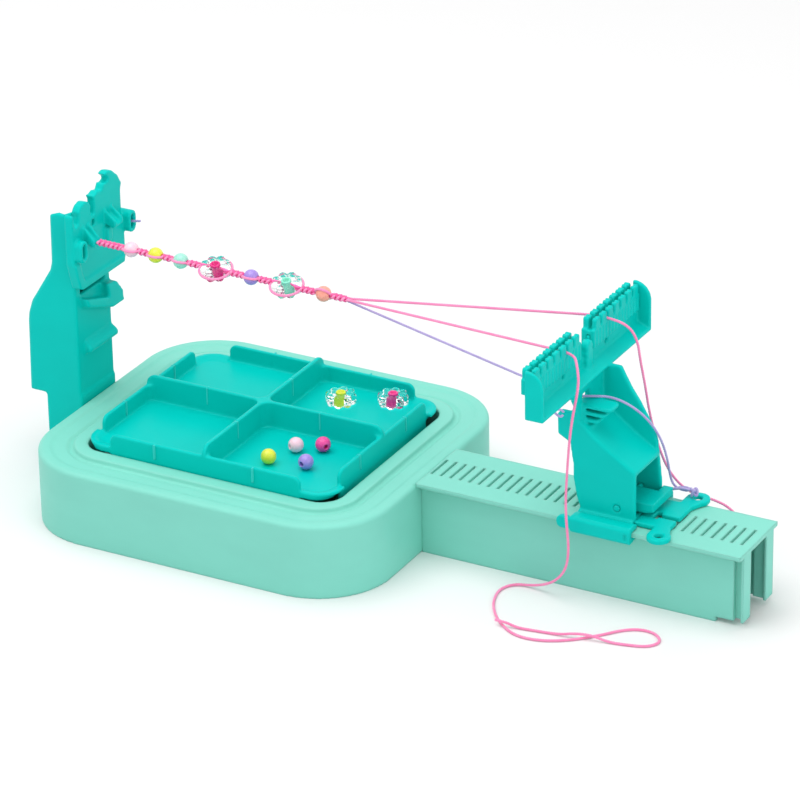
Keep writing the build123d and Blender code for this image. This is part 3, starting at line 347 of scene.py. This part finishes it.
def mouldedPlastic(name, look):
    # satin injection-moulded plastic: faint flow marks, fine grain, and a painted highlight along the
    # rounded edges
    material, graph = newFinish(name)
    flow = graph.noise(38.0, 2.0, (1, 1, 2.4))
    grain = graph.noise(2600.0, 2.0)
    rub = graph.noise(210.0, 4.0)
    rounded = graph.node("Bevel", {"samples": 6}, {"Radius": look["edge"]})
    facing = graph.node("NewGeometry", output=1)
    bend = graph.node("VectorMath", {"operation": "DOT_PRODUCT"}, {0: rounded, 1: facing}, 1)
    # a mask along the rounded edges: it paints a highlight into the colour below and lowers the roughness a
    # little
    edge = graph.maths("MULTIPLY", 1 - bend, 5.0, True)
    tint = graph.mix(flow, shade(look["tint"], 0.95), shade(look["tint"], 1.05))
    # painted highlight: the colour is lifted towards a pale tint along the edges
    tint = graph.mix(edge * look["edgeHighlightShare"], tint, look["edgeHighlightTint"])
    height = grain * look["grain"] + rub * 0.35
    normal = graph.node("Bump", {}, {
        "Strength": 0.16, "Distance": 0.00012, "Height": height, "Normal": rounded,
    })
    closeFinish(graph, {
        "Base Color": tint,
        "Roughness": look["roughness"] + rub * 0.14 - edge * 0.04,
        "Normal": normal,
        "IOR": 1.5,
        "Specular IOR Level": look["gloss"],
    })
    return material


def threadFinish(name, look):
    # smooth nylon thread: a silky sheen and tiny fibres along it
    material, graph = newFinish(name)
    fibre = graph.noise(5200.0, 2.0, (0.25, 1, 1))
    patch = graph.noise(340.0, 3.0)
    tint = graph.mix(patch, look["dark"], look["light"])
    normal = graph.node("Bump", {}, {"Strength": 0.25, "Distance": 0.00004, "Height": fibre})
    closeFinish(graph, {
        "Base Color": graph.mix(fibre * 0.3, tint, look["light"]),
        "Roughness": 0.42 + fibre * 0.18,
        "Normal": normal,
        "Sheen Weight": 0.25,
    })
    return material


def beadFinish(name, look):
    # opal bead: cloudy tint, clear gloss on top
    material, graph = newFinish(name)
    cloud = graph.noise(420.0, 3.0)
    scuff = graph.noise(1900.0, 3.0)
    tint = graph.mix(cloud, shade(look["tint"], 0.92), shade(look["tint"], 1.08))
    normal = graph.node("Bump", {}, {"Strength": 0.05, "Distance": 0.00005, "Height": scuff})
    closeFinish(graph, {
        "Base Color": tint,
        "Roughness": 0.22 + scuff * 0.12,
        "Normal": normal,
        "Coat Weight": 0.25,
        "Coat Roughness": 0.08,
        "Subsurface Weight": look["milk"],
        "Subsurface Radius": (0.8, 0.8, 0.8),
        "Subsurface Scale": 0.0012,
    })
    return material


def clearFinish(name):
    # clear acrylic with a trace of swirl
    material, graph = newFinish(name)
    swirl = graph.noise(520.0, 2.0)
    normal = graph.node("Bump", {}, {"Strength": 0.08, "Distance": 0.0001, "Height": swirl})
    clear = graph.node("BsdfPrincipled", {}, {
        "Base Color": graph.mix(swirl, (0.93, 0.985, 0.975, 1), (1, 1, 1, 1)),
        "Roughness": 0.02 + swirl * 0.03,
        "Normal": normal,
        "IOR": 1.3,
        "Transmission Weight": 1.0,
    })
    shadow = graph.node("LightPath", output=1)
    passing = graph.node("BsdfTransparent", {}, {"Color": (0.94, 0.97, 0.97, 1)})
    surface = graph.node("MixShader", {}, {0: shadow, 1: clear, 2: passing})
    graph.node("OutputMaterial", {}, {"Surface": surface})
    return material


def steelFinish(name):
    material, graph = newFinish(name)
    turned = graph.noise(900.0, 4.0, (1, 1, 6))
    normal = graph.node("Bump", {}, {"Strength": 0.1, "Distance": 0.00005, "Height": turned})
    closeFinish(graph, {
        "Base Color": graph.mix(turned, (0.52, 0.53, 0.55, 1), (0.68, 0.69, 0.7, 1)),
        "Metallic": 1.0,
        "Roughness": 0.25 + turned * 0.2,
        "Normal": normal,
    })
    return material


# each look's pale edge colour and its share are a painted highlight along the rounded edges; 'edge' is the
# bevel radius
plasticLook = {
    "mint": {
        "tint": colour(130, 212, 196), "edgeHighlightTint": colour(178, 242, 230), "edgeHighlightShare": 0.3,
        "edge": 0.0014, "grain": 0.5, "roughness": 0.36, "gloss": 0.16,
    },
    "teal": {
        "tint": colour(0, 198, 189), "edgeHighlightTint": colour(40, 232, 224), "edgeHighlightShare": 0.55,
        "edge": 0.0011, "grain": 0.5, "roughness": 0.3, "gloss": 0.07,
    },
}
threadLook = {
    "pink": {"dark": colour(246, 112, 172), "light": colour(255, 158, 202)},
    "hotPink": {"dark": colour(238, 48, 140), "light": colour(252, 100, 170)},
    "lilac": {"dark": colour(156, 134, 206), "light": colour(198, 184, 226)},
}
beadLook = {
    "pale_pink_bead": {"tint": colour(247, 206, 222), "milk": 0.35},
    "yellow_bead": {"tint": colour(224, 230, 62), "milk": 0.2},
    "mint_bead": {"tint": colour(160, 226, 208), "milk": 0.35},
    "purple_bead": {"tint": colour(164, 138, 220), "milk": 0.25},
    "peach_bead": {"tint": colour(250, 164, 146), "milk": 0.35},
    "hot_pink_bead": {"tint": colour(240, 66, 158), "milk": 0.2},
    "magenta_core": {"tint": colour(226, 20, 130), "milk": 0.15},
    "mint_core": {"tint": colour(134, 226, 200), "milk": 0.3},
    "yellow_core": {"tint": colour(220, 230, 40), "milk": 0.15},
    "pink_core": {"tint": colour(240, 40, 146), "milk": 0.15},
}
finishes = {
    "mint_plastic": mouldedPlastic("mintPlastic", plasticLook["mint"]),
    "teal_plastic": mouldedPlastic("tealPlastic", plasticLook["teal"]),
    "pink_cord": threadFinish("pinkThread", threadLook["pink"]),
    "hot_pink_cord": threadFinish("hotPinkThread", threadLook["hotPink"]),
    "lilac_cord": threadFinish("lilacThread", threadLook["lilac"]),
    "clear_petals": clearFinish("clearAcrylic"),
    "steel": steelFinish("screwSteel"),
}
for slotName, look in beadLook.items():
    finishes[slotName] = beadFinish(slotName.replace("_", " ").title().replace(" ", ""), look)
print("finishes made:", len(finishes))


def dress(piece, finish):
    piece.data.materials.clear()
    piece.data.materials.append(finishes[finish])


for piece in (nearTail, farTail):
    dress(piece, "pink_cord")
for piece in (coreTail, knot, loop):
    dress(piece, "lilac_cord")

nodeFinish = {
    "mint_plastic": ["base_housing", "bottom_cover", "rail_arm"],
    "teal_plastic": [
        "bead_tray", "post_body", "hook_plate", "tower_body", "left_comb", "right_comb",
        "lock_plate", "near_clip", "far_clip", "release_lever", "lever_pin",
    ],
    "steel": ["bottom_screws"],
}
for finish, names in nodeFinish.items():
    for name in names:
        dress(nodes[name], finish)


# ---- softened mouldings: the same solids with rounded edges ----
# node: body, voxel in mm, passes of smoothing
softLook = {
    "base_housing": ("base", 0.5, 3), "bead_tray": ("tray", 0.36, 6),
    "hook_plate": ("base", 0.34, 9), "post_body": ("base", 0.45, 9),
    "tower_body": ("carriage", 0.38, 10),
    "left_comb": ("carriage", 0.26, 9), "right_comb": ("carriage", 0.26, 9),
    "near_clip": ("carriage", 0.3, 9), "far_clip": ("carriage", 0.3, 9), "lock_plate": ("carriage", 0.3, 9),
}
softShare = 0.3  # share of the fine mesh's faces that is kept


def softened(node, voxel, passes):
    # voxel size in mm; passes of smoothing round the edges
    source = nodes[node]
    mesh = source.data.copy()
    mesh.transform(source.matrix_world)
    rough = bpy.data.objects.new(node + "_rough", mesh)
    scene.collection.objects.link(rough)
    skin = rough.modifiers.new("skin", "REMESH")
    skin.mode = "VOXEL"
    skin.voxel_size = voxel / 1000
    soften = rough.modifiers.new("soften", "SMOOTH")
    soften.factor = 0.5
    soften.iterations = passes
    thin = rough.modifiers.new("thin", "DECIMATE")
    thin.ratio = softShare
    bpy.context.view_layer.update()
    made = bpy.data.meshes.new_from_object(rough.evaluated_get(bpy.context.evaluated_depsgraph_get()))
    bpy.data.objects.remove(rough)
    bpy.data.meshes.remove(mesh)
    made.polygons.foreach_set("use_smooth", [True] * len(made.polygons))
    piece = bpy.data.objects.new(node + "_soft", made)
    scene.collection.objects.link(piece)
    weigh = piece.modifiers.new("weigh", "WEIGHTED_NORMAL")
    weigh.mode = "FACE_AREA"
    return piece


for node, (body, voxel, passes) in softLook.items():
    piece = softened(node, voxel, passes)
    slotName = next(finish for finish, names in nodeFinish.items() if node in names)
    dress(piece, slotName)
    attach(piece, body)
    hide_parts(node)
    print("softened", node, len(piece.data.polygons))


# ---- pale fillings in the tray's slits: painted light, standing in for the light that shows through them ----
# the fillings' pale tint is painted light, not a colour of the tray
slitLook = {
    "tint": colour(70, 222, 214), "width": 0.6, "proud": 0.06,  # mm
    "wallHeights": (32.7, 38.6), "dividerHeights": (35.3, 42.5),
    "alongWalls": 21.5, "acrossWalls": 18.0, "alongDivider": 25.0, "acrossDivider": 21.0,
    "wall": 1.5, "divider": 1.6, "halfLength": 52.4, "halfWidth": 46.45,
}


def slitBoxes(look):
    # low and high corners (mm) of every slit's filling
    half = look["width"] / 2
    boxes = []
    for side in (-1, 1):
        for end in (-1, 1):
            across = end * (look["halfWidth"] - look["wall"] / 2)
            boxes.append((side * look["alongWalls"], across, half, look["wall"] / 2, look["wallHeights"]))
            along = end * (look["halfLength"] - look["wall"] / 2)
            boxes.append((along, side * look["acrossWalls"], look["wall"] / 2, half, look["wallHeights"]))
        boxes.append((side * look["alongDivider"], 0, half, look["divider"] / 2, look["dividerHeights"]))
        boxes.append((0, side * look["acrossDivider"], look["divider"] / 2, half, look["dividerHeights"]))
    return boxes


corners, faces = [], []
for x, y, halfX, halfY, (low, high) in slitBoxes(slitLook):
    halfX += slitLook["proud"] if halfX > slitLook["width"] else 0
    halfY += slitLook["proud"] if halfY > slitLook["width"] else 0
    first = len(corners)
    for z in (low, high):
        for signX, signY in ((-1, -1), (1, -1), (1, 1), (-1, 1)):
            corners.append(((x + signX * halfX) / 1000, (y + signY * halfY) / 1000, z / 1000))
    for quad in ((3, 2, 1, 0), (4, 5, 6, 7), (0, 1, 5, 4), (1, 2, 6, 5), (2, 3, 7, 6), (3, 0, 4, 7)):
        faces.append(tuple(first + index for index in quad))
# pale boxes painted in where light shows through the slits
slits = meshPiece("traySlitPaintedLight", corners, faces, False)
finishes["slit_light"] = mouldedPlastic("slitLight", dict(plasticLook["teal"], tint=slitLook["tint"]))
dress(slits, "slit_light")
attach(slits, "tray")


# ---- braid ----
braidLook = {
    "start": (-66.6, -8.0, 98.7), "end": (42.0, -5.0, 95.2),  # mm
    "turn": 4.0, "spread": 0.8, "weave": 0.24, "thread": 0.5,
    "endGather": 3.0, "gatherShare": 0.45,
    "frontStretch": 1.12, "upStretch": 0.95,  # the plait is wider than it is tall
    "hugGap": 0.35, "throughGap": 0.36,  # mm, round a bead and inside its bore
    "passAngles": [10, 11, 15, 14, 52],  # degrees above level where the front cord passes each round bead
    "roundBeads": {
        "braid_bead_pale_pink": 14.4, "braid_bead_yellow": 25.1, "braid_bead_mint": 36.1,
        "braid_bead_purple": 66.6, "braid_bead_peach": 97.5,
    },
    "flowers": {"flower_core_magenta": 51.3, "flower_core_mint": 81.8},
    "beadRadius": 3.0, "flowerRadius": 6.0, "flowerTilt": 14,
}
braidStart, braidEnd = Vector(braidLook["start"]), Vector(braidLook["end"])
braidAlong = (braidEnd - braidStart).normalized()
braidFront = braidAlong.cross(Vector((0, 0, 1))).normalized()  # level, towards -Y
braidUp = braidFront.cross(braidAlong).normalized()
if braidUp.z < 0:
    braidUp.negate()
flowerTilt = math.radians(braidLook["flowerTilt"])
flowerUp = Vector((0, -math.sin(flowerTilt), math.cos(flowerTilt)))
flowerUp = (flowerUp - braidAlong * flowerUp.dot(braidAlong)).normalized()
flowerFront = braidFront - flowerUp * braidFront.dot(flowerUp)
flowerFront.normalize()


def easeIn(value, low, high):
    share = min(1.0, max(0.0, (value - low) / (high - low)))
    return share * share * (3 - 2 * share)


def braidStrand(handed, half):
    # one of the four strands: it winds round the line, and parts where a bead sits
    length = (braidEnd - braidStart).length
    passes = [
        (station, braidLook["beadRadius"], math.radians(angle))
        for station, angle in zip(braidLook["roundBeads"].values(), braidLook["passAngles"])
    ]
    passes += [(station, braidLook["flowerRadius"], None) for station in braidLook["flowers"].values()]
    thread = braidLook["thread"]
    line = []
    for station in np.arange(0, length, 0.1):
        turn = handed * 2 * math.pi * station / braidLook["turn"] + half * math.pi
        lift = handed * braidLook["weave"] * math.cos(4 * math.pi * station / braidLook["turn"])
        gather = 1 - braidLook["gatherShare"] * easeIn(station, length - braidLook["endGather"], length)
        reach = (braidLook["spread"] + lift) * gather
        offset = braidFront * (reach * math.cos(turn) * braidLook["frontStretch"])
        offset += braidUp * (reach * math.sin(turn) * braidLook["upStretch"])
        for middle, radius, tilt in passes:
            away = abs(station - middle)
            weight = 1 - easeIn(away, radius - 0.3, radius + 1.1)
            if weight <= 0:
                continue
            side = 1 - 2 * half
            if handed > 0:  # this pair goes round the bead, front and back
                hug = math.sqrt(max((radius + braidLook["hugGap"]) ** 2 - away**2, 0.7))
                if tilt is not None:
                    aside = (braidFront * math.cos(tilt) + braidUp * math.sin(tilt)) * (hug * side)
                else:
                    aside = flowerFront * (hug * side)
            else:  # this pair goes through it
                aside = braidUp * (braidLook["throughGap"] * side)
            offset = offset.lerp(aside, weight)
        line.append((braidStart + braidAlong * station + offset) / 1000)
    return np.array(line), thread / 1000


for name, handed, finish in (("braidOuterPair", 1, "pink_cord"), ("braidInnerPair", -1, "hot_pink_cord")):
    strands = [braidStrand(handed, half) for half in (0, 1)]
    piece = tubes(name, [line for line, thread in strands], [thread for line, thread in strands], 9)
    dress(piece, finish)
    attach(piece, "base")
    if handed > 0:
        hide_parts("braid")
print("braid plaited")


# ---- beads ----
def spun(name, profile, axis, centre, sides=48):
    # a closed profile (radius, height) turned round an axis, in mm
    axis = Vector(axis).normalized()
    turn = Vector((0, 0, 1)).rotation_difference(axis).to_matrix()
    corners = []
    for side in range(sides):
        angle = 2 * math.pi * side / sides
        for radius, height in profile:
            spot = turn @ Vector((radius * math.cos(angle), radius * math.sin(angle), height))
            corners.append((spot + Vector(centre)) / 1000)
    return meshPiece(name, corners, hoopFaces(sides, len(profile)))


roundLook = {"radius": 3.0, "hole": 0.85, "lip": 0.3, "seam": 0.03}
coreLook = {"radius": 2.0, "height": 5.4, "rim": 0.45, "cup": 1.15, "cupDepth": 0.9}


def roundProfile(look):
    # a ball bored along its axis, with rounded lips and a faint seam at its middle
    edge = math.asin((look["hole"] + look["lip"]) / look["radius"])
    profile = []
    for step in range(33):
        angle = edge + (math.pi - 2 * edge) * step / 32
        swell = look["seam"] * math.exp(-((angle - math.pi / 2) / 0.035) ** 2)
        reach = look["radius"] + swell
        profile.append((reach * math.sin(angle), -reach * math.cos(angle)))
    top = profile[-1][1]
    lip = [
        (look["hole"] + look["lip"] * (1 - math.sin(turn)), top - look["lip"] * (1 - math.cos(turn)) * 0.9)
        for turn in (0.5, 1.0, math.pi / 2)
    ]
    profile += lip + [(radius, -height) for radius, height in reversed(lip)]
    return profile


def coreProfile(look):
    # a barrel with rounded rims and a cup in each end
    half, rim = look["height"] / 2, look["rim"]
    upper = [(look["radius"] * 0.97, 0.0), (look["radius"], half * 0.45)]
    for step in range(7):
        turn = math.pi / 2 * step / 6
        upper.append((look["radius"] - rim + rim * math.cos(turn), half - rim + rim * math.sin(turn)))
    upper += [
        (look["cup"] + 0.2, half - 0.05), (look["cup"], half - 0.25),
        (look["cup"] * 0.9, half - look["cupDepth"]), (0.05, half - look["cupDepth"] * 1.15),
    ]
    return [(radius, -height) for radius, height in reversed(upper[1:])] + upper


def stationPlace(station):
    return braidStart + braidAlong * station


def petalMesh(name, centre, upright, firstWay, look):
    # clear ring of rounded petals round the core
    sideWay = upright.cross(firstWay).normalized()
    petals, spread, lobe = look["petals"], look["ring"], look["lobe"]
    perTurn, perRing = petals * look["stepsPerPetal"], look["stepsPerRing"]
    corners = []
    for step in range(perTurn):
        angle = 2 * math.pi * step / perTurn
        near = (angle * petals / (2 * math.pi) + 0.5) % 1 - 0.5
        near *= 2 * math.pi / petals
        reach = spread * math.cos(near) + math.sqrt(max(lobe**2 - (spread * math.sin(near)) ** 2, 0.02))
        tall = look["height"] / 2 * (1 - look["dip"] + look["dip"] * math.cos(near * petals))
        outward = firstWay * math.cos(angle) + sideWay * math.sin(angle)
        middle, half = (reach + look["bore"]) / 2, (reach - look["bore"]) / 2
        for turn in range(perRing):
            bend = 2 * math.pi * turn / perRing
            wide, high = math.cos(bend), math.sin(bend)
            wide = math.copysign(abs(wide) ** look["squareness"], wide)
            high = math.copysign(abs(high) ** look["squareness"], high)
            corners.append((centre + outward * (middle + half * wide) + upright * (tall * high)) / 1000)
    return meshPiece(name, corners, hoopFaces(perTurn, perRing))


petalLook = {
    "petals": 8, "ring": 4.2, "lobe": 1.85, "height": 5.0, "bore": 1.9,  # mm
    "dip": 0.07, "squareness": 0.5,  # share of height lost between petals; 1 is a round section
    "stepsPerPetal": 12, "stepsPerRing": 28,
}
traySlot = {
    "tray_bead_yellow": ("yellow_bead", (1, 0.4, 0)), "tray_bead_pale_pink": ("pale_pink_bead", (0.6, 1, 0)),
    "tray_bead_hot_pink": ("hot_pink_bead", (1, -0.7, 0)), "tray_bead_lilac": ("purple_bead", (0.2, 1, 0)),
}
coreSlot = {
    "flower_core_magenta": "magenta_core", "flower_core_mint": "mint_core",
    "tray_flower_core_yellow": "yellow_core", "tray_flower_core_pink": "pink_core",
}


def standFor(piece, body, slotName, *replaced):
    dress(piece, slotName)
    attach(piece, body)
    if replaced:
        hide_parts(*replaced)


def boxMiddle(node):
    low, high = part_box(node)
    return (low + high) * 500  # mm


for node, station in braidLook["roundBeads"].items():
    piece = spun(node + "_ball", roundProfile(roundLook), braidAlong, stationPlace(station))
    standFor(piece, "base", node.replace("braid_bead_", "") + "_bead", node)
for node, (slotName, hole) in traySlot.items():
    piece = spun(node + "_ball", roundProfile(roundLook), hole, boxMiddle(node))
    standFor(piece, "tray", slotName, node)
for node, station in braidLook["flowers"].items():
    piece = spun(node + "_barrel", coreProfile(coreLook), flowerUp, stationPlace(station))
    standFor(piece, "base", coreSlot[node], node)
for node in ("tray_flower_core_yellow", "tray_flower_core_pink"):
    piece = spun(node + "_barrel", coreProfile(coreLook), (0, 0, 1), boxMiddle(node))
    standFor(piece, "tray", coreSlot[node], node)
for count, (node, station) in enumerate(braidLook["flowers"].items()):
    piece = petalMesh(node + "_petals", stationPlace(station), flowerUp, braidAlong, petalLook)
    standFor(piece, "base", "clear_petals", *(["braid_flower_petals"] if count == 0 else []))
for count, node in enumerate(("tray_flower_core_yellow", "tray_flower_core_pink")):
    firstWay = Vector((1, 0.3, 0)).normalized()
    piece = petalMesh(node + "_petals", boxMiddle(node), Vector((0, 0, 1)), firstWay, petalLook)
    standFor(piece, "tray", "clear_petals", *(["tray_flower_petals"] if count == 0 else []))
print("beads threaded")


# ---- tight cords ----
spanLook = {
    "pink_span_left": ((41.2, -5.6, 95.3), (133.0, -16.55, 98.9), "pink_cord"),
    "pink_span_right": ((41.2, -4.4, 95.3), (133.0, 16.55, 98.9), "pink_cord"),
    "lilac_span": ((41.2, -5.0, 94.5), (131.1, -6.0, 76.2), "lilac_cord"),
}
for node, (begin, finish, slotName) in spanLook.items():
    share = np.linspace(0, 1, 260)[:, None]
    line = (np.array(begin) * (1 - share) + np.array(finish) * share) / 1000
    radius = cordLook["lilacRadius"] if slotName == "lilac_cord" else cordLook["pinkRadius"]
    piece = twistedCord(node + "_cord", line, radius, cordLook["pitch"])
    dress(piece, slotName)
    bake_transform(piece)
    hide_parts(node)

anchorRoute = [(-75.0, 20.4, 95.2), (-71.0, 20.5, 95.6), (-67.0, 20.8, 96.2), (-65.7, 20.9, 96.4)]
anchor = twistedCord("coreAnchorCord", splineLine(anchorRoute), cordLook["lilacRadius"], cordLook["pitch"])
dress(anchor, "lilac_cord")
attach(anchor, "base")
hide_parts("core_anchor")
print("tight cords drawn")


# ---- floor, backdrop and light ----
stageLook = {"floorTint": (0.83, 0.83, 0.83, 1), "eyeGlow": 0.02, "sky": 0.72, "reach": 6.0}


def seenRays(graph):
    # 1 on rays from the camera, off a gloss or through clear material, and 0 on the rest
    straight, gloss, through = (graph.node("LightPath", output=index) for index in (0, 3, 6))
    return graph.maths("MINIMUM", straight + gloss + through, 1.0)


floorMaterial, graph = newFinish("paleFloor")
eye = seenRays(graph)
paint = graph.node("BsdfDiffuse", {}, {"Color": stageLook["floorTint"]})
glow = graph.node("Emission", {}, {"Color": (1, 1, 1, 1), "Strength": eye * stageLook["eyeGlow"]})
surface = graph.node("AddShader", {}, {0: paint, 1: glow})
graph.node("OutputMaterial", {}, {"Surface": surface})

reach = stageLook["reach"]
floorCorners = [(-reach, -reach, 0), (reach, -reach, 0), (reach, reach, 0), (-reach, reach, 0)]
floor = meshPiece("floor", floorCorners, [(0, 1, 2, 3)], False)
floor.data.materials.append(floorMaterial)

world = bpy.data.worlds.new("studio")
world.use_nodes = True
scene.world = world
graph = Graph(world.node_tree)
eye = seenRays(graph)
sky = graph.node("Background", {}, {"Color": (1, 1, 1, 1), "Strength": stageLook["sky"]})
white = graph.node("Background", {}, {"Color": (1, 1, 1, 1), "Strength": 1.0})
graph.node("OutputWorld", {}, {"Surface": graph.node("MixShader", {}, {0: eye, 1: sky, 2: white})})

lampLook = {
    "overhead": {"place": (-0.2, -0.2, 1.5), "size": 1.6, "power": 15.0},
    "leftFront": {"place": (-0.9, -1.3, 0.8), "size": 0.9, "power": 0.6},
    "right": {"place": (1.5, -0.3, 0.7), "size": 1.2, "power": 5.0},
}
for name, look in lampLook.items():
    lamp = bpy.data.lights.new(name, "AREA")
    lamp.shape = "DISK"
    lamp.size = look["size"]
    lamp.energy = look["power"]
    holder = bpy.data.objects.new(name, lamp)
    scene.collection.objects.link(holder)
    holder.location = look["place"]
    holder.rotation_euler = (Vector((0.03, 0, 0.03)) - holder.location).to_track_quat("-Z", "Y").to_euler()
print("stage lit")
